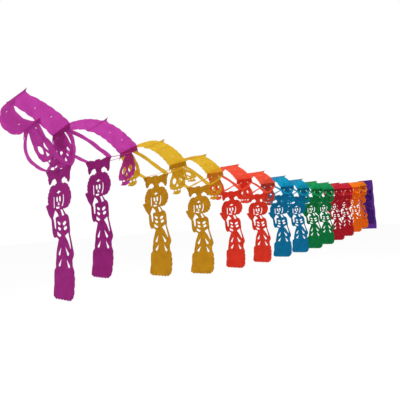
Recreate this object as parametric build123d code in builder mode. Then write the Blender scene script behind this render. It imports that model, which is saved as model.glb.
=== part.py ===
from build123d import *
from math import hypot
import os

# A hanging garland of folded and cut tissue leaves, in millimetres, +Z up, +X along the garland.
# The origin is the first leaves' top fold, where the garland is held.  Each station is a pair of
# leaves glued back to back at their top edge and down the figure; each leaf's glue band is stuck
# to the band of the next station's leaf, so the paper opens into a chain of diamonds.

# The garland
stations = 15  # pairs of leaves
garland_length = 2940.0  # from the first top fold to the last one
crowding = 0.08  # how much closer the near stations hang than the far ones
sag = 85.0  # drop of the middle below the ends
paper = 0.4  # thickness of one leaf
seam = 1.5  # how far one stretch of a leaf runs into the next before they are joined

# Heights below a station's top fold
band_top = 37.0
band_height = 12.0
yoke_top = 83.0
slit_level = 133.0  # the hat slit, which the figure is drawn from
low_figures = {2: 7.0, 3: 13.0, 4: 10.0, 5: 6.0}  # stations whose figure hangs lower, and by how much

# The ribbon and the glue band
ribbon_half = 34.0
ribbon_neck = 30.0  # half width just below the corner spikes
spike_half = 43.0
spike_rise = 5.0
spike_root = 16.0  # how far below the fold the spikes leave the ribbon's sides
fin_height = 4.0  # glued lip that stands above the top fold
ribbon_bow = 9.0  # how far a regular ribbon arches off its chord
scallops = 5
scallop_bulge = 2.2
slit_length = 6.0
slit_width = 1.6

# The frame between glue band and yoke
strip_foot = (34.0, 52.0)  # inner and outer half width where a strip joins the yoke
strip_waist = (34.0, 50.0)
strip_cheek = (33.0, 46.0)
strip_head = (16.0, 30.0)  # where it leaves the glue band
strip_bulge = 1.5  # of the waves along a strip's outer edge
skull_height = 84.0
skull_tab = 3.0  # the skull runs this far up into the glue band

# The two ends, which have no neighbour to be glued to
near_figure = (88.0, -137.0)  # x and z of the first yoke's top, swung in from its station
near_band = (31.0, -50.0)  # the loose first leaf's glue band
near_skull = (86.0, -140.0)  # where the first leaf's skull points, swung with its frame
near_bows = (24.0, 16.0)  # how far its slack ribbon and strips belly out
near_strips = -8.0  # its partner's strips, almost upright, bow the other way
end_half = 56.0  # half width of the last leaf, a plain uncut blank that hangs flat
end_length = 410.0  # from the top fold to its hem
end_waves = 4  # long shallow waves down each of its sides
end_bulge = 3.0
flat_skull = 3  # the station, from 0, whose near skull still lies in its frame


def outline(points):
    """A closed line through (y, z, bulge) points; bulge swells the edge to the next point outwards."""
    pairs = list(zip(points, points[1:] + points[:1]))
    turn = sum(here[0] * there[1] - there[0] * here[1] for here, there in pairs)
    outwards = 1 if turn < 0 else -1
    with BuildLine() as line:
        for here, there in pairs:
            if here[2]:
                SagittaArc(here[:2], there[:2], outwards * here[2])
            else:
                Line(here[:2], there[:2])
    return line.edges()


def punch(holes):
    """Cuts each outline out of the sketch that is being built."""
    for hole in holes:
        make_face(outline(hole), mode=Mode.SUBTRACT)


# The figure: a skeleton lady in a wide scalloped hat and a long skirt, from the neck of the yoke
# to the hem.  Its points run down the left side, along the hem and up the right side.
yoke_edge = [
    (10, 17, 0), (11, 25, -2), (18, 29, -2), (27, 26, 0), (33, 19, 1), (37, 17, 1), (41, 21, 0),
    (43, 29, -1), (44, 38, -2), (52, 51, 0), (33, 52, -2), (12, 48, 0), (7, 51, 1), (-7, 51, 0),
    (-12, 48, -2), (-33, 52, 0), (-52, 51, -2), (-44, 38, -1), (-43, 29, 0), (-41, 21, 1),
    (-37, 17, 1), (-33, 19, 0), (-27, 26, -2), (-18, 29, -2), (-11, 25, 0), (-10, 17, 0),
]
left_side = [
    (12, 18, 0), (17, 14, 2), (28, 14, 2), (36, 9, 2), (40, 2, 2), (45, -6, 2), (47, -15, 2),
    (46, -25, 0), (52, -27, 1), (58, -30, 0), (51, -41, 1), (42, -54, 0), (36, -61, 0),
    (35, -83, 1), (31, -97, 1), (25, -101, 0), (19, -99, 0), (10, -104, 0), (18, -122, 1),
    (24, -144, 1), (28, -165, 0), (36, -172, 1), (38, -202, 1), (43, -228, 1),
]
hem = [(36, -232, 2.5), (24, -232, 2.5), (12, -232, 2.5), (0, -232, 2.5), (-12, -232, 2.5),
       (-24, -232, 2.5), (-35, -230, 2)]
right_side = [
    (-44, -220, 2), (-45, -207, 2), (-47, -193, 2), (-46, -179, 2), (-45, -166, 0),
    (-42, -160, 0), (-42, -148, 0), (-47, -140, 1), (-48, -131, 0), (-42, -114, 0), (-35, -92, 1),
    (-35, -75, 1), (-33, -58, 2), (-23, -50, 0), (-13, -39, 0), (-15, -38, 1), (-25, -37, 2),
    (-36, -31, 2), (-42, -22, 2), (-45, -11, 2), (-41, 0, 2), (-36, 8, 2), (-28, 15, 2),
    (-17, 16, 1), (-12, 18, 0),
]
figure_holes = [
    [(12, -2, -1), (1, 3, -1), (-9, -1, -1), (3, -5, -1)],  # hat slit
    [(23, -10, 0), (20, -11, 0), (20, -34, 1), (24, -34, 0)],  # hair, left
    [(-14, -7, 0), (-17, -8, 3), (-12, -33, 0), (-8, -32, -3)],  # hair, right
    [(12, -13, 2), (7, -12, 1), (6, -21, 2), (11, -22, 1)],  # eye sockets
    [(0, -11, 2), (-5, -12, 1), (-5, -21, 2), (0, -21, 1)],
    [(3, -22, 0), (-1, -29, 0.5), (8, -29, 0)],  # nose
    [(15, -33, 0), (1, -33, 1), (2, -37, 0), (12, -37.5, 1)],  # mouth
    [(19, -40, 0), (12, -45, 1), (6, -54, 0), (14, -55, 0), (19, -58, 0), (18, -66, 0),
     (19, -80, 1), (24, -80, 0), (26, -64, 0), (29, -57, 0)],  # between arm and neck
    [(-3, -40, 0), (-10, -40, 0), (-17, -52, 0), (-9, -54, 0)],  # between hair and shoulder
    [(11, -65, 1), (0, -69, 1), (1, -73, 1), (9, -71, 1)],  # ribs
    [(-9, -70, 1), (-20, -65, 1), (-23, -69, 1), (-13, -75, 1)],
    [(10, -77, 1), (-1, -81, 1), (2, -85, 1), (10, -82, 1)],
    [(-12, -80, 1), (-23, -76, 1), (-25, -81, 1), (-15, -85, 1)],
    [(15, -87, 0), (5, -92, 0), (-1, -95, 1), (6, -99, 0), (15, -95, 0)],  # waist
    [(-29, -90, 0), (-16, -97, 0), (-26, -108, 0), (-35, -124, 0.6), (-38, -124, 0),
     (-34, -106, 0)],
    [(0, -119, 0), (6, -137, 3), (14, -136, 0)],  # skirt drops
    [(-15, -119, 0), (-30, -135, 3), (-22, -138, 0)],
    [(1, -145, 0), (7, -161, 3), (16, -160, 0)],
    [(-19, -145, 0), (-32, -161, 3), (-24, -163, 0)],
]


def figure_sketch():
    """Yoke and skeleton lady in one flat outline, measured from the hat slit."""
    with BuildSketch() as flat:
        make_face(outline(yoke_edge))
        make_face(outline(left_side + hem + right_side))
        punch(figure_holes)
    return flat.sketch


# The skull hangs head up from the middle of the glue band; measured from the band's lower edge.
skull_edge = [
    (13, skull_tab, 0), (14, -2, 1), (25, -26, 2), (31, -46, 2), (30, -58, 2), (24, -66, 0),
    (14, -69, 0), (15, -76, 0), (19, -81, 0), (10, -82, 1), (4, -skull_height, 1), (-4, -skull_height, 1),
    (-12, -82, 1), (-15, -76, 0), (-14, -69, 0), (-24, -66, 2), (-30, -58, 2), (-31, -46, 2),
    (-25, -26, 1), (-14, -2, 0), (-13, skull_tab, 0),
]
skull_holes = [
    [(17, -36, 3), (8, -34, 3), (7, -47, 3), (16, -50, 3)],  # eye sockets
    [(-17, -36, 3), (-8, -34, 3), (-7, -47, 3), (-16, -50, 3)],
    [(0, -50, 0), (-5, -59, 1), (5, -59, 0)],  # nose
    [(11, -69, 0), (3, -69, 0), (3, -73, 0), (11, -73, 0)],  # teeth
    [(-3, -69, 0), (-11, -69, 0), (-11, -73, 0), (-3, -73, 0)],
]


def skull_sketch():
    with BuildSketch() as flat:
        make_face(outline(skull_edge))
        punch(skull_holes)
    return flat.sketch


def band_sketch():
    """The glue band with a tooth at each lower corner, measured from its lower edge."""
    half = ribbon_half
    with BuildSketch() as flat:
        make_face(outline([
            (-half, band_height, 0), (half, band_height, 0), (half + 1, 4, 0), (half + 3, -6, 0),
            (half - 3, 0, 0), (3 - half, 0, 0), (-half - 3, -6, 0), (-half - 1, 4, 0),
        ]))
    return flat.sketch


def ribbon_sketch(length):
    """Scalloped ribbon from the glue band, at 0, up to its spiked top edge, at length."""
    neck_level = length - spike_root
    step = neck_level / scallops
    widths = [ribbon_half + (ribbon_neck - ribbon_half) * n / scallops for n in range(scallops)]
    tip = length + spike_rise
    left = [(widths[n], step * n, scallop_bulge) for n in range(scallops)]
    left += [(ribbon_neck, neck_level, -2), (spike_half, tip, -1), (ribbon_neck, length + seam, 0)]
    right = [(-ribbon_neck, length + seam, -1), (-spike_half, tip, -2)]
    right += [(-ribbon_neck, neck_level, scallop_bulge)]
    right += [(-widths[n], step * n, scallop_bulge) for n in range(scallops - 1, 0, -1)]
    right += [(-ribbon_half, 0, 0), (-ribbon_half, -seam, 0), (ribbon_half, -seam, 0)]
    upper_slit = (2, 0.62 * length)
    lower_slit = (-6, 0.3 * length)
    with BuildSketch() as flat:
        make_face(outline(left + right))
        with Locations(upper_slit, lower_slit):
            SlotOverall(slit_length, slit_width, mode=Mode.SUBTRACT)
    return flat.sketch


def strips_sketch(length):
    """Two wavy side strips from the yoke, at 0, up to the glue band, at length."""
    heights = (-seam, 0.3 * length, 0.6 * length, length + seam)
    inner, outer = zip(strip_foot, strip_waist, strip_cheek, strip_head)
    side = [(outer[n], heights[n], strip_bulge) for n in range(3)] + [(outer[3], heights[3], 0)]
    side += [(inner[3], heights[3], -2)] + [(inner[n], heights[n], -1) for n in (2, 1)]
    side += [(inner[0], heights[0], 0)]
    with BuildSketch() as flat:
        make_face(outline(side))
        mirror(about=Plane.YZ)
    return flat.sketch


def end_sketch():
    """The uncut last leaf, from its top fold, at 0, down to its hem."""
    levels = [-end_length * n / end_waves for n in range(end_waves + 1)]
    left = [(end_half, level, end_bulge) for level in levels[:-1]] + [(end_half, -end_length, 0)]
    right = [(-end_half, level, end_bulge) for level in levels[:0:-1]] + [(-end_half, 0, 0)]
    with BuildSketch() as flat:
        make_face(outline(left + right))
    return flat.sketch


def upright(x, z):
    """Plane across the garland: sketch x runs along +Y and sketch y runs up."""
    return Plane(origin=(x, 0, z), x_dir=(0, 1, 0), z_dir=(1, 0, 0))


def leaning(low, high):
    """Plane through two points of the side view, its sketch y running from low to high."""
    run, rise = high[0] - low[0], high[1] - low[1]
    return Plane(origin=(low[0], 0, low[1]), x_dir=(0, 1, 0), z_dir=(rise, 0, -run))


def distance(low, high):
    return hypot(high[0] - low[0], high[1] - low[1])


def hanging(high, end):
    """Plane for a skull that leans from high towards end, its tab ending inside the glue band."""
    reach = distance(high, end)
    seat = skull_tab - paper / 2 * (high[1] - end[1]) / reach
    along = ((end[0] - high[0]) / reach, (end[1] - high[1]) / reach)
    face = leaning(end, high)
    return Plane(origin=(high[0] + seat * along[0], 0, high[1] + seat * along[1]),
                 x_dir=face.x_dir, z_dir=face.z_dir)


def bowed(low, high, bow, cut):
    """A stretch of paper that arches by bow between two points of the side view."""
    with BuildPart() as stretch:
        with BuildSketch(Plane.XZ):
            with BuildLine():
                if bow:
                    SagittaArc(low, high, bow)
                else:
                    Line(low, high)
            trace(line_width=paper)
        extrude(amount=2 * spike_half, both=True)
        with BuildSketch(leaning(low, high)):
            add(cut)
        extrude(amount=abs(bow) + 4, both=True, mode=Mode.INTERSECT)
    return stretch.part


def finish(leaf, name):
    leaf.label = name
    export_step(leaf, f"parts/{name}.step")
    print(name, "solids", len(leaf.solids()), "volume", round(leaf.volume, 1))


def make_leaf(name, top, band, yoke, bows, skull_end=None):
    """One folded leaf.  top, band and yoke are its (x, z) in the side view: the top fold, the
    upper edge of the glue band and the top of the yoke; bows are its ribbon's and strips' arches.
    The skull hangs straight down from the band, or leans towards skull_end."""
    band_low = (band[0], band[1] - band_height)
    ribbon = bowed(band, top, bows[0], ribbon_sketch(distance(band, top)))
    strips = bowed(yoke, band_low, bows[1], strips_sketch(distance(yoke, band_low)))
    with BuildPart() as leaf:
        add(ribbon)
        add(strips)
        with BuildSketch(upright(band[0], band_low[1])):
            add(band_sketch())
            if not skull_end:
                add(skull_sketch())
        extrude(amount=paper / 2, both=True)
        if skull_end:
            with BuildSketch(hanging(band_low, skull_end)):
                add(skull_sketch())
            extrude(amount=paper / 2, both=True)
        with BuildSketch(upright(top[0], top[1])):
            with Locations((0, fin_height / 2)):
                Rectangle(2 * ribbon_neck, fin_height + 1)
        extrude(amount=paper / 2, both=True)
        with BuildSketch(upright(yoke[0], yoke[1] + yoke_top - slit_level)):
            add(figure_sketch())
        extrude(amount=paper / 2, both=True)
    finish(leaf.part, name)


def make_end_leaf(name, top):
    """The plain last leaf, glued to its partner's figure and hanging flat from the top fold."""
    with BuildPart() as leaf:
        with BuildSketch(upright(top[0], top[1] + fin_height)):
            add(end_sketch())
        extrude(amount=paper / 2, both=True)
    finish(leaf.part, name)


def station(number):
    """x and z of a station's top fold."""
    t = number / (stations - 1)
    return garland_length * (t - crowding * t * (1 - t)), -4 * sag * t * (1 - t)


def glue_line(number):
    """x and z of the upper edge of the glue band between a station and the next one."""
    (x0, z0), (x1, z1) = station(number), station(number + 1)
    return (x0 + x1) / 2, (z0 + z1) / 2 - band_top


colours = ["magenta", "yellow", "red", "blue", "green", "crimson", "orange", "purple"]
half = paper / 2
os.makedirs("parts", exist_ok=True)

for number in range(stations):
    colour = colours[number // 2]
    x, z = station(number)
    drop = yoke_top + low_figures.get(number, 0)
    yoke_x, yoke_z = near_figure if number == 0 else (x, z - drop)
    pair = f"{colour}_{number % 2 + 1}"

    # the leaf that opens towards the near end
    top = (x - half, z)
    yoke = (yoke_x - half, yoke_z)
    if number == 0:
        make_leaf(f"{pair}_leaf_a", top, near_band, yoke, near_bows, skull_end=near_skull)
    else:
        band = glue_line(number - 1)
        in_frame = yoke if number == flat_skull else None
        make_leaf(f"{pair}_leaf_a", top, (band[0] + half, band[1]), yoke, (ribbon_bow, 0),
                  skull_end=in_frame)

    # the leaf that opens towards the far end
    top = (x + half, z)
    yoke = (yoke_x + half, yoke_z)
    if number == stations - 1:
        make_end_leaf(f"{pair}_leaf_b", top)
    else:
        band = glue_line(number)
        make_leaf(f"{pair}_leaf_b", top, (band[0] - half, band[1]), yoke,
                  (-ribbon_bow, near_strips if number == 0 else 0))
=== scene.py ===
import math
import bpy
import numpy as np
from mathutils import Matrix, Vector
from mathutils.geometry import delaunay_2d_cdt


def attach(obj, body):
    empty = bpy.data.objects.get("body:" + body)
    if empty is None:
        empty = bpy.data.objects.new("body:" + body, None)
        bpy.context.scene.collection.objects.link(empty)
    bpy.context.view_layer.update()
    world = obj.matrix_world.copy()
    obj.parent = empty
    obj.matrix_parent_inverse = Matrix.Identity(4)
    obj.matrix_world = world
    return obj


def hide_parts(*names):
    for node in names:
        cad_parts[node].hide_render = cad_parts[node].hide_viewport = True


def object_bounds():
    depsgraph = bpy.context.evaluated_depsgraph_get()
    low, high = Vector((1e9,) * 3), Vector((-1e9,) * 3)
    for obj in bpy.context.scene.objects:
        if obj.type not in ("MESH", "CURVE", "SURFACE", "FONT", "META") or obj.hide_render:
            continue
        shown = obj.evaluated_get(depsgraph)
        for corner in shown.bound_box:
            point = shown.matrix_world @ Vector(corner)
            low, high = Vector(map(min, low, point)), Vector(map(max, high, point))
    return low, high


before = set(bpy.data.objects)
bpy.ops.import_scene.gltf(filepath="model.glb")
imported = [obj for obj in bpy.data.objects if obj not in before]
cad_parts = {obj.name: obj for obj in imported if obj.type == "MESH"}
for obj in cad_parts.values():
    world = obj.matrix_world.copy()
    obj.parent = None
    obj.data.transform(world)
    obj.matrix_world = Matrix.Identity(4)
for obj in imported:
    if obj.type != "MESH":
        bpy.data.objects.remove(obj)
cad_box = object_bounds()


# The ribbon.  The arched top of each leaf is dyed tissue, punched with scalloped sides, two slits
# and a spike at each corner of its lip.  The lip is glued to its partner's along the top fold.
MM = 0.001
RIBBON_LENGTH = 112  # along a regular ribbon; each leaf's own is stretched to its span
RIBBON_HALF = 34
RIBBON_NECK = 30
NECK_DROP = 16
SPIKE_HALF = 43
SPIKE_RISE = 5
SPIKE_SWEEP = -2
FIN_HEIGHT = 4
SCALLOPS = 5
SCALLOP_BULGE = 2.2
RIBBON_SLITS = [(2, 0.62), (-6, 0.3)]  # across, and share of the length
SLIT_HALF_LENGTH = 3
SLIT_HALF_WIDTH = 0.8
ARC_STEP = 2.2
POINT_SPACING = 5.0
ROW_SHARE = 0.87  # rows lie this much closer than the points in them
EDGE_CLEARANCE = 1.9
DROOP_FADE = 0.7


def rim(points):
    """Samples a closed outline of (across, up, bulge) points; bulge swells an edge outwards."""
    pairs = list(zip(points, points[1:] + points[:1]))
    turn = sum(a[0] * b[1] - b[0] * a[1] for a, b in pairs)
    outwards = 1 if turn < 0 else -1
    samples = []
    for a, b in pairs:
        start, end = Vector(a[:2]), Vector(b[:2])
        chord = end - start
        steps = max(1, round(chord.length / ARC_STEP))
        normal = Vector((-chord.y, chord.x)).normalized() * a[2] * outwards
        for n in range(steps):
            t = n / steps
            samples.append(start + chord * t + normal * 4 * t * (1 - t))
    return samples


def inside(ring, spots):
    """Even-odd test of many points against one ring."""
    xs, ys = np.array([v.x for v in ring]), np.array([v.y for v in ring])
    x2, y2 = np.roll(xs, -1), np.roll(ys, -1)
    px, py = spots[:, :1], spots[:, 1:]
    crosses = (ys > py) != (y2 > py)
    at = xs + (py - ys) / np.where(y2 == ys, 1e-9, y2 - ys) * (x2 - xs)
    return (crosses & (px < at)).sum(axis=1) % 2 == 1


def in_paper(rings, spots):
    """Inside the first ring and outside its holes."""
    keep = inside(rings[0], spots)
    for ring in rings[1:]:
        keep &= ~inside(ring, spots)
    return keep


def cut_paper(edge, holes=()):
    """Flat triangulated paper: its points and triangles, in millimetres."""
    rings = [rim(edge)] + [rim(hole) for hole in holes]
    border = np.array([tuple(v) for ring in rings for v in ring])
    low, high = border.min(axis=0), border.max(axis=0)
    grid = []
    for row, y in enumerate(np.arange(low[1], high[1], POINT_SPACING * ROW_SHARE)):
        offset = POINT_SPACING / 2 if row % 2 else 0
        grid += [(x + offset, y) for x in np.arange(low[0], high[0], POINT_SPACING)]
    grid = np.array(grid)
    grid = grid[in_paper(rings, grid)]
    gaps = np.sqrt(((grid[:, None] - border[None]) ** 2).sum(axis=2)).min(axis=1)
    grid = grid[gaps > EDGE_CLEARANCE]
    edges, first = [], 0
    for ring in rings:
        count = len(ring)
        edges += [(first + n, first + (n + 1) % count) for n in range(count)]
        first += count
    spots = [Vector(p) for p in np.vstack([border, grid])]
    verts, _, faces, *_ = delaunay_2d_cdt(spots, edges, [], 0, 1e-5)
    verts = np.array([tuple(v) for v in verts])
    faces = np.array(faces)
    return verts, faces[in_paper(rings, verts[faces].mean(axis=1))]


def arc(low, high, bow, share):
    """Points and paper normals along an arch between two points of the side view."""
    low, high = np.array(low), np.array(high)
    chord = high - low
    span = np.hypot(*chord)
    normal = np.array([-chord[1], chord[0]]) / span
    if bow == 0:
        return low + np.outer(share, chord), np.tile(normal, (len(share), 1))
    radius = (span**2 / 4 + bow**2) / (2 * abs(bow))
    half_turn = math.asin(min(1, span / 2 / radius))
    if abs(bow) > span / 2:
        half_turn = math.pi - half_turn
    angle = (share * 2 - 1) * half_turn
    along = radius * np.sin(angle) + span / 2
    rise = radius * (np.cos(angle) - math.cos(half_turn))
    side = math.copysign(1, bow)
    spots = low + np.outer(along, chord / span) + np.outer(rise * side, normal)
    facing = np.outer(np.cos(angle), normal) + np.outer(np.sin(angle) * side, chord / span)
    return spots, facing


def slit(across, level):
    return [(across - SLIT_HALF_LENGTH, level, -SLIT_HALF_WIDTH),
            (across, level + SLIT_HALF_WIDTH, 0),
            (across + SLIT_HALF_LENGTH, level, -SLIT_HALF_WIDTH),
            (across, level - SLIT_HALF_WIDTH, 0)]


def ribbon_edge():
    """From the glue band, at 0, up to the spiked lip."""
    neck = RIBBON_LENGTH - NECK_DROP
    taper = (RIBBON_NECK - RIBBON_HALF) / SCALLOPS
    crests = [(RIBBON_HALF + taper * n, neck / SCALLOPS * n) for n in range(SCALLOPS)]
    top = RIBBON_LENGTH + FIN_HEIGHT
    spike = RIBBON_LENGTH + SPIKE_RISE
    edge = [(half, level, SCALLOP_BULGE) for half, level in crests]
    edge += [(RIBBON_NECK, neck, SPIKE_SWEEP), (SPIKE_HALF, spike, 0), (RIBBON_NECK, top, 0)]
    edge += [(-RIBBON_NECK, top, 0), (-SPIKE_HALF, spike, SPIKE_SWEEP)]
    edge += [(-RIBBON_NECK, neck, SCALLOP_BULGE)]
    edge += [(-half, level, SCALLOP_BULGE) for half, level in crests[:0:-1]]
    return edge + [(-RIBBON_HALF, 0, 0)]


def lay_ribbon(band, top, bow, hang):
    """Arched from the glue band to the top fold, drooping at its edges; points and free play."""
    verts, _ = cuts["ribbon"]
    share = np.clip(verts[:, 1] / RIBBON_LENGTH, 0, 1)
    lip = np.maximum(verts[:, 1] - RIBBON_LENGTH, 0) * MM
    spots, facing = arc(band, top, bow, share)
    free = np.sin(share * math.pi) ** DROOP_FADE
    droop = hang["droop"] * (verts[:, 0] / RIBBON_HALF) ** 2 * free
    spots = spots - facing * np.sign(facing[:, 1:2] + 1e-9) * droop[:, None]
    points = np.column_stack([spots[:, 0], verts[:, 0] * MM, spots[:, 1] + lip])
    points[:, 2] += points[:, 1] * (hang["roll_top"] * share + hang["roll_band"] * (1 - share))
    return points, np.column_stack([facing[:, 0], 0 * free, facing[:, 1]]) * free[:, None]


cuts = {}  # each part of a leaf, flat
slits = [slit(across, share * RIBBON_LENGTH) for across, share in RIBBON_SLITS]
cuts["ribbon"] = cut_paper(ribbon_edge(), slits)


# The glue band.  A flat band of the same tissue below the ribbon, with a tooth at each lower
# corner; each leaf is stuck to its neighbour there, so it neither bends nor ripples.
BAND_HEIGHT = 12
TOOTH_HALF = RIBBON_HALF + 3
TOOTH_ROOT = RIBBON_HALF - 3
TOOTH_DROP = 6
HIP_HALF = RIBBON_HALF + 1
HIP_LEVEL = 4
cuts["band"] = cut_paper([
    (-RIBBON_HALF, BAND_HEIGHT, 0), (RIBBON_HALF, BAND_HEIGHT, 0), (HIP_HALF, HIP_LEVEL, 0),
    (TOOTH_HALF, -TOOTH_DROP, 0), (TOOTH_ROOT, 0, 0), (-TOOTH_ROOT, 0, 0),
    (-TOOTH_HALF, -TOOTH_DROP, 0), (-HIP_HALF, HIP_LEVEL, 0),
])


def lay_band(low, hang):
    verts, _ = cuts["band"]
    points = np.column_stack([np.full(len(verts), low[0]), verts[:, 0] * MM,
                              low[1] + verts[:, 1] * MM])
    points[:, 2] += points[:, 1] * hang["roll_band"]
    return points, np.zeros((len(verts), 3))


# The side strips.  Two wavy strips of the same tissue are left between the punched window and the
# leaf's sides; they fold back from the glue band down to the yoke.
STRIP_LENGTH = 108
STRIP_LEVELS = (0, 0.3, 0.6, 1)  # foot, waist, cheek and head, as shares of the length
STRIP_INNER = (34, 34, 33, 16)
STRIP_OUTER = (52, 50, 46, 30)
STRIP_WAVE = 3
STRIP_HOLLOWS = (-1, -1, -2)  # the inner edge below the waist, cheek and head


def strip_edge(side):
    """From the yoke, at 0, up to the glue band; side is 1 or -1."""
    levels = [share * STRIP_LENGTH for share in STRIP_LEVELS]
    edge = [(side * STRIP_OUTER[n], levels[n], STRIP_WAVE) for n in range(3)]
    edge += [(side * STRIP_OUTER[3], levels[3], 0)]
    edge += [(side * STRIP_INNER[n], levels[n], STRIP_HOLLOWS[n - 1]) for n in (3, 2, 1)]
    return edge + [(side * STRIP_INNER[0], levels[0], 0)]


def lay_strip(name, yoke, band_low, bow, hang):
    verts, _ = cuts[name]
    share = verts[:, 1] / STRIP_LENGTH
    spots, facing = arc(yoke, band_low, bow, share)
    free = np.sin(np.clip(share, 0, 1) * math.pi)
    points = np.column_stack([spots[:, 0], verts[:, 0] * MM, spots[:, 1]])
    points[:, 2] += points[:, 1] * hang["roll_band"] * share - hang["strip_droop"] * free
    return points, np.column_stack([facing[:, 0], 0 * free, facing[:, 1]]) * free[:, None]


cuts["strip_left"] = cut_paper(strip_edge(1))
cuts["strip_right"] = cut_paper(strip_edge(-1))


# The skull flap.  A punched skull of the same tissue hangs in the window between the strips, from
# the lower edge of the glue band; only its neck is joined to the leaf.
SKULL_HEIGHT = 84
SKULL_EDGE = [
    (13, 0, 0), (14, -2, 1), (25, -26, 2), (31, -46, 2), (30, -58, 2), (24, -66, 0), (14, -69, 0),
    (15, -76, 0), (19, -81, 0), (10, -82, 1), (4, -SKULL_HEIGHT, 1), (-4, -SKULL_HEIGHT, 1),
    (-12, -82, 1), (-15, -76, 0), (-14, -69, 0), (-24, -66, 2), (-30, -58, 2), (-31, -46, 2),
    (-25, -26, 1), (-14, -2, 0), (-13, 0, 0),
]
SKULL_HOLES = [
    [(17, -36, 3), (8, -34, 3), (7, -47, 3), (16, -50, 3)],
    [(-17, -36, 3), (-8, -34, 3), (-7, -47, 3), (-16, -50, 3)],
    [(0, -50, 0), (-5, -59, 1), (5, -59, 0)],
    [(11, -69, 0), (3, -69, 0), (3, -73, 0), (11, -73, 0)],
    [(-3, -69, 0), (-11, -69, 0), (-11, -73, 0), (-3, -73, 0)],
]
cuts["skull"] = cut_paper(SKULL_EDGE, SKULL_HOLES)


def lay_skull(band_low, end, hang):
    """Down to end where it is stuck there, and otherwise swung a little from the vertical."""
    verts, _ = cuts["skull"]
    if end:
        reach = math.hypot(end[0] - band_low[0], end[1] - band_low[1])
        down = ((end[0] - band_low[0]) / reach, (end[1] - band_low[1]) / reach)
    else:
        down = (math.sin(hang["swing"]), -math.cos(hang["swing"]))
    drop = -verts[:, 1] * MM
    free = np.clip(drop / (SKULL_HEIGHT * MM), 0, 1)
    curl = hang["curl"] * free**2
    points = np.column_stack([band_low[0] + down[0] * drop - down[1] * curl,
                              verts[:, 0] * MM, band_low[1] + down[1] * drop + down[0] * curl])
    points[:, 2] += points[:, 1] * hang["roll_band"]
    return points, np.outer(free, (-down[1], 0, down[0]))


# The yoke and the figure.  The lower half of the leaf is a skeleton lady in a wide hat and a long
# skirt, punched from the same tissue and glued to the partner leaf's, so the two sway as one.
YOKE_RISE = 50  # from the outline's origin, on the hat, up to the yoke's upper edge
FIGURE_HEIGHT = 282
HEM_SHARE = 0.3  # the lowest part, which curls
LEFT_SIDE = [
    (12, 18, 0), (17, 14, 2), (28, 14, 2), (36, 9, 2), (40, 2, 2), (45, -6, 2), (47, -15, 2),
    (46, -25, 0), (52, -27, 1), (58, -30, 0), (51, -41, 1), (42, -54, 0), (36, -61, 0),
    (35, -83, 1), (31, -97, 1), (25, -101, 0), (19, -99, 0), (10, -104, 0), (18, -122, 1),
    (24, -144, 1), (28, -165, 0), (36, -172, 1), (38, -202, 1), (43, -228, 1),
]
HEM = [(36, -232, 2.5), (24, -232, 2.5), (12, -232, 2.5), (0, -232, 2.5), (-12, -232, 2.5),
       (-24, -232, 2.5), (-35, -230, 2)]
RIGHT_SIDE = [
    (-44, -220, 2), (-45, -207, 2), (-47, -193, 2), (-46, -179, 2), (-45, -166, 0),
    (-42, -160, 0), (-42, -148, 0), (-47, -140, 1), (-48, -131, 0), (-42, -114, 0), (-35, -92, 1),
    (-35, -75, 1), (-33, -58, 2), (-23, -50, 0), (-13, -39, 0), (-15, -38, 1), (-25, -37, 2),
    (-36, -31, 2), (-42, -22, 2), (-45, -11, 2), (-41, 0, 2), (-36, 8, 2), (-28, 15, 2),
    (-17, 16, 1), (-12, 18, 0),
]
YOKE_EDGE = [
    (-11, 25, 0), (-18, 29, -2), (-27, 26, -2), (-33, 19, 0), (-37, 17, 1), (-41, 21, 1),
    (-43, 29, 0), (-44, 38, -1), (-52, 51, -2), (-33, 52, 0), (-12, 48, -2), (-7, 51, 0),
    (7, 51, 1), (12, 48, 0), (33, 52, -2), (52, 51, 0), (44, 38, -2), (43, 29, -1), (41, 21, 0),
    (37, 17, 1), (33, 19, 1), (27, 26, 0), (18, 29, -2), (11, 25, -2), (10, 17, 0),
]
HEAD_HOLES = [
    [(12, -2, -1), (1, 3, -1), (-9, -1, -1), (3, -5, -1)],
    [(23, -10, 0), (20, -11, 0), (20, -34, 1), (24, -34, 0)],
    [(-14, -7, 0), (-17, -8, 3), (-12, -33, 0), (-8, -32, -3)],
    [(12, -13, 2), (7, -12, 1), (6, -21, 2), (11, -22, 1)],
    [(0, -11, 2), (-5, -12, 1), (-5, -21, 2), (0, -21, 1)],
    [(3, -22, 0), (-1, -29, 0.5), (8, -29, 0)],
    [(15, -33, 0), (1, -33, 1), (2, -37, 0), (12, -37.5, 1)],
]
CHEST_HOLES = [
    [(19, -40, 0), (12, -45, 1), (6, -54, 0), (14, -55, 0), (19, -58, 0), (18, -66, 0),
     (19, -80, 1), (24, -80, 0), (26, -64, 0), (29, -57, 0)],
    [(-3, -40, 0), (-10, -40, 0), (-17, -52, 0), (-9, -54, 0)],
    [(11, -65, 1), (0, -69, 1), (1, -73, 1), (9, -71, 1)],
    [(-9, -70, 1), (-20, -65, 1), (-23, -69, 1), (-13, -75, 1)],
    [(10, -77, 1), (-1, -81, 1), (2, -85, 1), (10, -82, 1)],
    [(-12, -80, 1), (-23, -76, 1), (-25, -81, 1), (-15, -85, 1)],
    [(15, -87, 0), (5, -92, 0), (-1, -95, 1), (6, -99, 0), (15, -95, 0)],
]
SKIRT_HOLES = [
    [(-29, -90, 0), (-16, -97, 0), (-26, -108, 0), (-35, -124, 0.6), (-38, -124, 0), (-34, -106, 0)],
    [(0, -119, 0), (6, -137, 3), (14, -136, 0)],
    [(-15, -119, 0), (-30, -135, 3), (-22, -138, 0)],
    [(1, -145, 0), (7, -161, 3), (16, -160, 0)],
    [(-19, -145, 0), (-32, -161, 3), (-24, -163, 0)],
]
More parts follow.
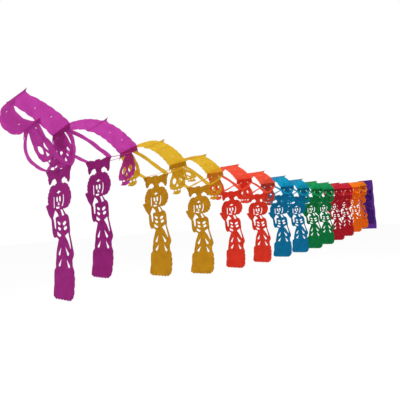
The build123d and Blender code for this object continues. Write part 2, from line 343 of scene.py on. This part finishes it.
cuts["figure"] = cut_paper(LEFT_SIDE + HEM + RIGHT_SIDE + YOKE_EDGE,
                           HEAD_HOLES + CHEST_HOLES + SKIRT_HOLES)


def lay_figure(yoke, hang):
    verts, _ = cuts["figure"]
    depth = np.clip((YOKE_RISE - verts[:, 1]) / FIGURE_HEIGHT, 0, 1)
    hem = np.clip((depth - (1 - HEM_SHARE)) / HEM_SHARE, 0, 1)
    across = verts[:, 0] * MM
    x = yoke[0] + hang["sway"] * depth**1.5 + across * hang["twist"] * depth
    x = x + hang["hem_curl"] * hem**2
    level = yoke[1] + (verts[:, 1] - YOKE_RISE) * MM
    points = np.column_stack([x, across + hang["lean"] * depth, level])
    return points, np.outer(depth, (1, 0, 0))


# The end leaf.  The last leaf at the far end is a plain uncut blank of tissue with waved sides,
# glued to its partner at the top fold and hanging flat against it, its hem swung out a little.
END_HALF = 56
END_LENGTH = 410
END_WAVES = 4
END_BULGE = 3
END_SWING = 14 * MM


def end_edge():
    """From the top fold, at 0, down to the hem."""
    levels = [-END_LENGTH * n / END_WAVES for n in range(END_WAVES + 1)]
    edge = [(END_HALF, level, END_BULGE) for level in levels[:-1]] + [(END_HALF, -END_LENGTH, 0)]
    return edge + [(-END_HALF, level, END_BULGE) for level in levels[:0:-1]] + [(-END_HALF, 0, 0)]


cuts["end"] = cut_paper(end_edge())


def lay_end(top, hang):
    verts, _ = cuts["end"]
    depth = -verts[:, 1] / END_LENGTH
    across = verts[:, 0] * MM
    x = top[0] + hang["sway"] * depth**1.5 + across * hang["twist"] * depth + END_SWING * depth**2
    points = np.column_stack([x, across, top[1] + (FIN_HEIGHT + verts[:, 1]) * MM])
    return points, np.outer(depth, (1, 0, 0))


# The ripple.  Thin dyed tissue is never flat: a slow wave runs through each leaf where it hangs
# free, and none where it is glued.  The same wave moves both layers of a figure.
RIPPLE_HEIGHT = 7 * MM
RIPPLE_LENGTH = 85 * MM
RIPPLE_STEP = 1.7  # from one pair's wave to the next


def ripple_tree():
    tree = bpy.data.node_groups.new("tissue_ripple", "GeometryNodeTree")
    face = tree.interface
    face.new_socket("Paper", in_out="INPUT", socket_type="NodeSocketGeometry")
    for name in ("Height", "Wave length", "Wave"):
        face.new_socket(name, in_out="INPUT", socket_type="NodeSocketFloat")
    face.new_socket("Tissue", in_out="INPUT", socket_type="NodeSocketMaterial")
    face.new_socket("Paper", in_out="OUTPUT", socket_type="NodeSocketGeometry")
    nodes, links = tree.nodes, tree.links
    given = nodes.new("NodeGroupInput")
    place = nodes.new("GeometryNodeInputPosition")
    inverse = nodes.new("ShaderNodeMath")
    inverse.operation = "DIVIDE"
    inverse.inputs[0].default_value = 1.0
    links.new(given.outputs["Wave length"], inverse.inputs[1])
    noise = nodes.new("ShaderNodeTexNoise")
    noise.noise_dimensions = "4D"
    noise.inputs["Detail"].default_value = 1.5
    links.new(place.outputs["Position"], noise.inputs["Vector"])
    links.new(inverse.outputs[0], noise.inputs["Scale"])
    links.new(given.outputs["Wave"], noise.inputs["W"])
    centre = nodes.new("ShaderNodeMath")
    centre.operation = "SUBTRACT"
    centre.inputs[1].default_value = 0.5
    links.new(noise.outputs["Fac"], centre.inputs[0])
    height = nodes.new("ShaderNodeMath")
    height.operation = "MULTIPLY"
    links.new(centre.outputs[0], height.inputs[0])
    links.new(given.outputs["Height"], height.inputs[1])
    play = nodes.new("GeometryNodeInputNamedAttribute")
    play.data_type = "FLOAT_VECTOR"
    play.inputs["Name"].default_value = "play"
    shift = nodes.new("ShaderNodeVectorMath")
    shift.operation = "SCALE"
    links.new(play.outputs["Attribute"], shift.inputs[0])
    links.new(height.outputs[0], shift.inputs["Scale"])
    move = nodes.new("GeometryNodeSetPosition")
    links.new(given.outputs["Paper"], move.inputs["Geometry"])
    links.new(shift.outputs["Vector"], move.inputs["Offset"])
    real = nodes.new("GeometryNodeRealizeInstances")
    links.new(move.outputs["Geometry"], real.inputs["Geometry"])
    finish = nodes.new("GeometryNodeSetMaterial")
    links.new(real.outputs["Geometry"], finish.inputs["Geometry"])
    links.new(given.outputs["Tissue"], finish.inputs["Material"])
    result = nodes.new("NodeGroupOutput")
    links.new(finish.outputs["Geometry"], result.inputs["Paper"])
    return tree


ripple = ripple_tree()
socket = {}
for item in ripple.interface.items_tree:
    if item.in_out == "INPUT":
        socket[item.name] = item.identifier


# The tissue.  Dyed china paper, thin enough to glow where light falls through it and to darken
# where two layers meet; fine fibres and faint crinkles.  Its colour holds painted light and shade:
# a lit and a shaded copy of each dye, mixed in patches and along the fibres.
def tissue(name, lit, shaded):
    paper = bpy.data.materials.new(name)
    paper.use_nodes = True
    nodes, links = paper.node_tree.nodes, paper.node_tree.links
    nodes.clear()
    flat = nodes.new("ShaderNodeUVMap")
    flat.uv_map = "flat"
    # painted light and shade: these patches pick between the lit and the shaded copy of the dye
    painted_light_patches = nodes.new("ShaderNodeTexNoise")
    painted_light_patches.inputs["Scale"].default_value = 45.0
    painted_light_patches.inputs["Detail"].default_value = 6.0
    links.new(flat.outputs["UV"], painted_light_patches.inputs["Vector"])
    fibre_run = nodes.new("ShaderNodeMapping")
    fibre_run.inputs["Scale"].default_value = (1800.0, 260.0, 1.0)
    links.new(flat.outputs["UV"], fibre_run.inputs["Vector"])
    fibres = nodes.new("ShaderNodeTexNoise")
    fibres.inputs["Scale"].default_value = 1.0
    fibres.inputs["Detail"].default_value = 3.0
    links.new(fibre_run.outputs["Vector"], fibres.inputs["Vector"])
    blend = nodes.new("ShaderNodeMath")
    blend.operation = "MULTIPLY_ADD"
    blend.inputs[1].default_value = 0.35
    links.new(fibres.outputs["Fac"], blend.inputs[0])
    links.new(painted_light_patches.outputs["Fac"], blend.inputs[2])
    # painted light and shade: the ramp runs from the shaded copy of the dye to the lit one
    ramp = nodes.new("ShaderNodeValToRGB")
    ramp.color_ramp.elements[0].position = 0.45
    ramp.color_ramp.elements[0].color = (*shaded, 1)
    ramp.color_ramp.elements[1].position = 0.85
    ramp.color_ramp.elements[1].color = (*lit, 1)
    links.new(blend.outputs[0], ramp.inputs["Fac"])
    crinkle = nodes.new("ShaderNodeTexVoronoi")
    crinkle.feature = "DISTANCE_TO_EDGE"
    crinkle.inputs["Scale"].default_value = 70.0
    links.new(flat.outputs["UV"], crinkle.inputs["Vector"])
    relief = nodes.new("ShaderNodeMath")
    relief.operation = "MULTIPLY_ADD"
    relief.inputs[1].default_value = 0.5
    links.new(crinkle.outputs["Distance"], relief.inputs[0])
    links.new(blend.outputs[0], relief.inputs[2])
    bump = nodes.new("ShaderNodeBump")
    bump.inputs["Strength"].default_value = 0.25
    bump.inputs["Distance"].default_value = 0.0006
    links.new(relief.outputs[0], bump.inputs["Height"])
    sheet = nodes.new("ShaderNodeBsdfPrincipled")
    sheet.inputs["Roughness"].default_value = 0.72
    sheet.inputs["Specular IOR Level"].default_value = 0.25
    links.new(ramp.outputs["Color"], sheet.inputs["Base Color"])
    links.new(bump.outputs["Normal"], sheet.inputs["Normal"])
    # each leaf has two faces, so what passes one takes the root of the dye's colour
    root = nodes.new("ShaderNodeGamma")
    root.inputs["Gamma"].default_value = 0.5
    links.new(ramp.outputs["Color"], root.inputs["Color"])
    glow = nodes.new("ShaderNodeBsdfTranslucent")
    links.new(root.outputs["Color"], glow.inputs["Color"])
    links.new(bump.outputs["Normal"], glow.inputs["Normal"])
    body = nodes.new("ShaderNodeMixShader")
    body.inputs["Fac"].default_value = 0.55
    links.new(sheet.outputs["BSDF"], body.inputs[1])
    links.new(glow.outputs["BSDF"], body.inputs[2])
    clear = nodes.new("ShaderNodeBsdfTransparent")
    links.new(root.outputs["Color"], clear.inputs["Color"])
    both = nodes.new("ShaderNodeMixShader")
    both.inputs["Fac"].default_value = 0.45
    links.new(body.outputs["Shader"], both.inputs[1])
    links.new(clear.outputs["BSDF"], both.inputs[2])
    out = nodes.new("ShaderNodeOutputMaterial")
    links.new(both.outputs["Shader"], out.inputs["Surface"])
    return paper


DYES = {  # where the light catches the paper, and where it doesn't; in the order they hang
    "magenta": ((0.55, 0.062, 0.40), (0.45, 0.042, 0.32)),
    "yellow": ((0.72, 0.47, 0.03), (0.62, 0.38, 0.02)),
    "red": ((0.84, 0.11, 0.055), (0.72, 0.075, 0.038)),
    "blue": ((0.008, 0.34, 0.54), (0.006, 0.27, 0.45)),
    "green": ((0.012, 0.37, 0.13), (0.008, 0.28, 0.09)),
    "crimson": ((0.62, 0.03, 0.06), (0.50, 0.02, 0.04)),
    "orange": ((0.88, 0.29, 0.016), (0.78, 0.22, 0.011)),
    "purple": ((0.13, 0.03, 0.30), (0.09, 0.02, 0.22)),
}
papers = {colour: tissue(colour + "_tissue", *shades) for colour, shades in DYES.items()}


# The leaves.  Each is one sheet of tissue about 11 cm wide and half a metre long, in one colour,
# cut with the one die: ribbon, glue band, strips, skull flap and figure are all one piece of paper.
LEAF_FLAT = (0.110, 0.50)
END_FLAT = (0.118, 0.410)
THICKNESS = 0.2 * MM
SHEET_SHIFT = 0.37  # each leaf shows another stretch of the fibres and of the painted light and shade patches
GRAIN_LEVELS = {"ribbon": 0, "band": -12, "strip_left": -130, "strip_right": -130,
                "skull": -130, "figure": -200, "end": 0}  # where each part's fibres and painted light and shade patches are read, in mm
leaf_area = 0
for part in ("ribbon", "band", "strip_left", "strip_right", "skull", "figure"):
    verts, triangles = cuts[part]
    corner, left, right = (verts[triangles[:, n]] for n in range(3))
    leaf_area += 0.5 * abs(np.cross(left - corner, right - corner)).sum() * MM * MM


def bend_leaf(top, band, yoke, bows, skull_end, hang):
    """A whole leaf's parts, each with its points and free play in metres."""
    band_low = (band[0], band[1] - BAND_HEIGHT * MM)
    return {
        "ribbon": lay_ribbon(band, top, bows[0], hang),
        "band": lay_band(band_low, hang),
        "strip_left": lay_strip("strip_left", yoke, band_low, bows[1], hang),
        "strip_right": lay_strip("strip_right", yoke, band_low, bows[1], hang),
        "skull": lay_skull(band_low, skull_end, hang),
        "figure": lay_figure(yoke, hang),
    }


def make_leaf(node, colour, sheet, pair_number, parts):
    """One rippled leaf, thickened, from its bent parts; sheet numbers it from the near end."""
    triangles, flats, first = [], [], 0
    for part in parts:
        verts, faces = cuts[part]
        triangles.append(faces + first)
        flats.append(verts * MM + np.array([0, GRAIN_LEVELS[part] * MM]) + sheet * SHEET_SHIFT)
        first += len(verts)
    points = np.vstack([points for points, _ in parts.values()])
    plays = np.vstack([play for _, play in parts.values()])
    mesh = bpy.data.meshes.new(node + "_paper")
    mesh.from_pydata(points.tolist(), [], np.vstack(triangles).tolist())
    mesh.update()
    uv = mesh.uv_layers.new(name="flat")
    corners = np.empty(len(mesh.loops), dtype=np.int32)
    mesh.loops.foreach_get("vertex_index", corners)
    uv.data.foreach_set("uv", np.vstack(flats)[corners].astype(np.float32).ravel())
    play = mesh.attributes.new("play", "FLOAT_VECTOR", "POINT")
    play.data.foreach_set("vector", plays.astype(np.float32).ravel())
    mesh.polygons.foreach_set("use_smooth", np.ones(len(mesh.polygons), dtype=bool))
    blank = bpy.data.objects.new(node + "_blank", mesh)
    bpy.context.scene.collection.objects.link(blank)
    waves = blank.modifiers.new("ripple", "NODES")
    waves.node_group = ripple
    waves[socket["Height"]] = RIPPLE_HEIGHT
    waves[socket["Wave length"]] = RIPPLE_LENGTH
    waves[socket["Wave"]] = pair_number * RIPPLE_STEP
    waves[socket["Tissue"]] = papers[colour]
    thick = blank.modifiers.new("paper", "SOLIDIFY")
    thick.thickness = THICKNESS
    thick.offset = 0
    view = bpy.context.evaluated_depsgraph_get()
    view.update()
    solid = bpy.data.meshes.new_from_object(blank.evaluated_get(view))
    solid.name = node + "_leaf"
    bpy.data.objects.remove(blank)
    leaf = bpy.data.objects.new("tissue_" + node, solid)
    bpy.context.scene.collection.objects.link(leaf)
    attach(leaf, "root")
    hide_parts(node)
    return leaf


# The chain.  Fifteen pairs of leaves are glued back to back at their top edge and down the figure,
# and each leaf's glue band is stuck to the next pair's, so the pulled-out paper hangs as a chain of
# diamonds between its two held ends.  Every leaf is cut alike; only how far it opens differs.
STATIONS = 15
PAIRS_OF_A_COLOUR = 2
GARLAND_LENGTH = 2940 * MM
CROWDING = 0.08
SAG = 85 * MM
PAPER = 0.4 * MM  # between the middles of two leaves glued together
BAND_TOP = 37 * MM
YOKE_TOP = 83 * MM
LOW_FIGURES = {2: 7 * MM, 3: 13 * MM, 4: 10 * MM, 5: 6 * MM}
STUCK_SKULL = 3  # the fourth pair's near skull flap lies against its yoke
# the loose first leaf: x and z of its yoke, glue band and skull's end
NEAR_YOKE = (88 * MM, -137 * MM)
NEAR_BAND = (31 * MM, -50 * MM)
NEAR_SKULL = (86 * MM, -140 * MM)
# how far ribbon and strips bow out of a straight line
NEAR_BOWS = (36 * MM, 16 * MM)
NEAR_BOWS_BACK = (-9 * MM, -8 * MM)
RIBBON_BOW = 9 * MM
# how far the paper near the first end leans, as a slope across it
LEAN_TOP = {0: -0.10, 1: -0.16, 2: -0.10, 3: -0.04}
LEAN_BAND = {0: -0.24, 1: -0.15, 2: -0.06}
# the looseness of one pair and of one leaf, in millimetres, radians and degrees
SWAY = 6
TWIST = 0.10
HEM_CURL = 3
SIDE_LEAN = 2
DROOP = (1, 4)
STRIP_DROOP = (0, 4)
SKULL_CURL = 2
SKULL_SWING = (5, 10)
rng = np.random.default_rng(15)


def station(number):
    """x and z of a pair's top fold."""
    t = number / (STATIONS - 1)
    return GARLAND_LENGTH * (t - CROWDING * t * (1 - t)), -4 * SAG * t * (1 - t)


def glue_line(number):
    """x and z of the upper edge of the glue band between a pair and the next one."""
    (x0, z0), (x1, z1) = station(number), station(number + 1)
    return (x0 + x1) / 2, (z0 + z1) / 2 - BAND_TOP


def loose(pair_hang, way, band_number):
    """How one leaf hangs; its skull flap swings to the far side if way is 1, or back if -1."""
    return dict(pair_hang, droop=rng.uniform(*DROOP) * MM, strip_droop=rng.uniform(*STRIP_DROOP) * MM,
                curl=rng.uniform(-SKULL_CURL, SKULL_CURL) * MM,
                swing=way * math.radians(rng.uniform(*SKULL_SWING)),
                roll_band=LEAN_BAND.get(band_number, 0.0))


for number in range(STATIONS):
    colour = list(DYES)[number // PAIRS_OF_A_COLOUR]
    pair = f"{colour}_{number % PAIRS_OF_A_COLOUR + 1}"
    x, z = station(number)
    yoke = NEAR_YOKE if number == 0 else (x, z - YOKE_TOP - LOW_FIGURES.get(number, 0))
    pair_hang = {
        "sway": rng.uniform(-SWAY, SWAY) * MM,
        "twist": rng.uniform(-TWIST, TWIST),
        "hem_curl": rng.uniform(-HEM_CURL, HEM_CURL) * MM,
        "lean": rng.uniform(-SIDE_LEAN, SIDE_LEAN) * MM,
        "roll_top": LEAN_TOP.get(number, 0.0),
    }

    # the leaf that opens towards the near end
    hang = loose(pair_hang, 1, max(number - 1, 0))
    top, near_yoke = (x - PAPER / 2, z), (yoke[0] - PAPER / 2, yoke[1])
    if number == 0:
        parts = bend_leaf(top, NEAR_BAND, near_yoke, NEAR_BOWS, NEAR_SKULL, hang)
    else:
        band = glue_line(number - 1)
        skull_end = near_yoke if number == STUCK_SKULL else None
        parts = bend_leaf(top, (band[0] + PAPER / 2, band[1]), near_yoke, (RIBBON_BOW, 0),
                          skull_end, hang)
    leaf = make_leaf(pair + "_leaf_a", colour, number * 2, number, parts)

    # the leaf that opens towards the far end, or the plain one at the very end
    hang = loose(pair_hang, -1, number)
    top, far_yoke = (x + PAPER / 2, z), (yoke[0] + PAPER / 2, yoke[1])
    if number == STATIONS - 1:
        parts, flat, area = {"end": lay_end(top, hang)}, END_FLAT, None
    else:
        band = glue_line(number)
        bows = NEAR_BOWS_BACK if number == 0 else (-RIBBON_BOW, 0)
        parts = bend_leaf(top, (band[0] - PAPER / 2, band[1]), far_yoke, bows, None, hang)
        flat, area = LEAF_FLAT, leaf_area
    leaf = make_leaf(pair + "_leaf_b", colour, number * 2 + 1, number, parts)


# The studio.  A white room with a soft overhead light and a weaker one from the front left; the
# floor and the room show plain white behind the paper.
FLOOR_DROP = 0.32
FLOOR_SPREAD = ((-12, -12), (16, -12), (16, 14), (-12, 14))
FLOOR_WHITE = 0.88
ROOM_LIGHT = 0.85
floor_level = cad_box[0][2] - FLOOR_DROP
floor_mesh = bpy.data.meshes.new("floor")
floor_mesh.from_pydata([(*corner, floor_level) for corner in FLOOR_SPREAD], [], [(0, 1, 2, 3)])
floor = bpy.data.objects.new("floor", floor_mesh)
bpy.context.scene.collection.objects.link(floor)
pale = bpy.data.materials.new("pale_floor")
pale.use_nodes = True
nodes, links = pale.node_tree.nodes, pale.node_tree.links
nodes.clear()
matt = nodes.new("ShaderNodeBsdfDiffuse")
matt.inputs["Color"].default_value = (0.86, 0.86, 0.86, 1)
white = nodes.new("ShaderNodeEmission")
white.inputs["Color"].default_value = (1, 1, 1, 1)
path = nodes.new("ShaderNodeLightPath")
share = nodes.new("ShaderNodeMath")
share.operation = "MULTIPLY"
share.inputs[1].default_value = FLOOR_WHITE
links.new(path.outputs["Is Camera Ray"], share.inputs[0])
mix = nodes.new("ShaderNodeMixShader")
links.new(share.outputs[0], mix.inputs["Fac"])
links.new(matt.outputs["BSDF"], mix.inputs[1])
links.new(white.outputs["Emission"], mix.inputs[2])
out = nodes.new("ShaderNodeOutputMaterial")
links.new(mix.outputs["Shader"], out.inputs["Surface"])
floor_mesh.materials.append(pale)

world = bpy.data.worlds.new("studio")
bpy.context.scene.world = world
world.use_nodes = True
nodes, links = world.node_tree.nodes, world.node_tree.links
nodes.clear()
room = nodes.new("ShaderNodeBackground")
room.inputs["Color"].default_value = (1, 1, 1, 1)
room.inputs["Strength"].default_value = ROOM_LIGHT
seen = nodes.new("ShaderNodeBackground")
seen.inputs["Color"].default_value = (1, 1, 1, 1)
seen.inputs["Strength"].default_value = 1.0
path = nodes.new("ShaderNodeLightPath")
either = nodes.new("ShaderNodeMath")
either.operation = "MAXIMUM"
links.new(path.outputs["Is Camera Ray"], either.inputs[0])
links.new(path.outputs["Is Glossy Ray"], either.inputs[1])
mix = nodes.new("ShaderNodeMixShader")
links.new(either.outputs[0], mix.inputs["Fac"])
links.new(room.outputs["Background"], mix.inputs[1])
links.new(seen.outputs["Background"], mix.inputs[2])
out = nodes.new("ShaderNodeOutputWorld")
links.new(mix.outputs["Shader"], out.inputs["Surface"])


def softbox(name, place, aim, size, power):
    lamp = bpy.data.lights.new(name, "AREA")
    lamp.shape = "RECTANGLE"
    lamp.size, lamp.size_y = size
    lamp.energy = power
    holder = bpy.data.objects.new(name, lamp)
    towards = (Vector(aim) - Vector(place)).to_track_quat("-Z", "Y").to_matrix().to_4x4()
    holder.matrix_world = Matrix.Translation(place) @ towards
    bpy.context.scene.collection.objects.link(holder)


softbox("overhead", (1.3, 0.2, 2.2), (1.3, 0, -0.2), (4.0, 2.0), 60)
softbox("front_left", (-1.4, -1.2, 0.7), (0.8, 0, -0.2), (1.4, 1.4), 16)


# The eye.  It stands 0.72 m to one side of the garland, a third of a metre before its near end and
# a little below it, and looks along the chain, tipped slightly to one side.
EYE = (-0.3514, -0.7154, -0.2698)
YAW, PITCH, ROLL = math.radians(37.055), math.radians(3.461), math.radians(-3.129)
lens = bpy.data.cameras.new("eye")
lens.sensor_width = 36.0
lens.lens = 32.4
lens.clip_start = 0.02
forward = Vector((math.cos(YAW) * math.cos(PITCH), math.sin(YAW) * math.cos(PITCH), math.sin(PITCH)))
level = Vector((math.sin(YAW), -math.cos(YAW), 0))
upright = level.cross(forward)
right = level * math.cos(ROLL) + upright * math.sin(ROLL)
above = upright * math.cos(ROLL) - level * math.sin(ROLL)
turn = Matrix((right, above, -forward)).transposed().to_4x4()
eye = bpy.data.objects.new("eye", lens)
eye.matrix_world = Matrix.Translation(EYE) @ turn
bpy.context.scene.collection.objects.link(eye)
bpy.context.scene.camera = eye
bpy.context.scene.view_settings.view_transform = "Standard"
